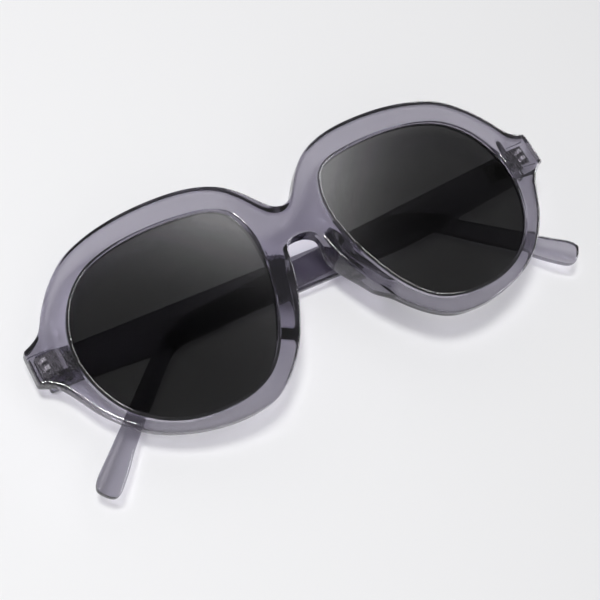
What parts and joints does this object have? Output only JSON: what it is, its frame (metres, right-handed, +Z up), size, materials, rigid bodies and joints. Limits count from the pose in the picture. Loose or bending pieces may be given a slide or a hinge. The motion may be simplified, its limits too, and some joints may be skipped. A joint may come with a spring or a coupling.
{
  "type": "oversized sunglasses",
  "caption": "Oversized rounded acetate sunglasses with dark lenses, shown folded and lying on one temple, with both temples hinged.",
  "frame": {"origin": "on the surface the folded pair lies on, at the flat outer side of the left temple under the middle of the bridge", "axes": "+X along the folded temples towards the wearer's right end of the front as modelled, +Y towards the brow, +Z up through the front"},
  "size_m": [0.1496, 0.0621, 0.0201],
  "materials": {
    "acetate": "polished translucent lavender-grey acetate",
    "lens_tint": "smooth dark grey tint",
    "hinge_metal": "nickel silver hinge"
  },
  "bodies": {
    "left_temple": {"temple_left": "acetate", "temple_hinge_left": "hinge_metal"},
    "front": {"front_frame": "acetate", "lens_left": "lens_tint", "lens_right": "lens_tint", "nose_pad_left": "acetate", "nose_pad_right": "acetate", "front_hinge_left": "hinge_metal", "front_hinge_right": "hinge_metal", "hinge_screw_left": "hinge_metal", "hinge_screw_right": "hinge_metal"},
    "right_temple": {"temple_right": "acetate", "temple_hinge_right": "hinge_metal"}
  },
  "joints": [
    {"name": "left_hinge", "type": "hinge", "parent": "left_temple", "child": "front", "pos_m": [-0.06828, 0.0024, 0.0037], "axis": [0, -1, 0], "range_deg": [0, 93]},
    {"name": "right_hinge", "type": "hinge", "parent": "front", "child": "right_temple", "pos_m": [0.06953, 0.0024, 0.01093], "axis": [0, -1, 0], "range_deg": [0, 96]}
  ]
}
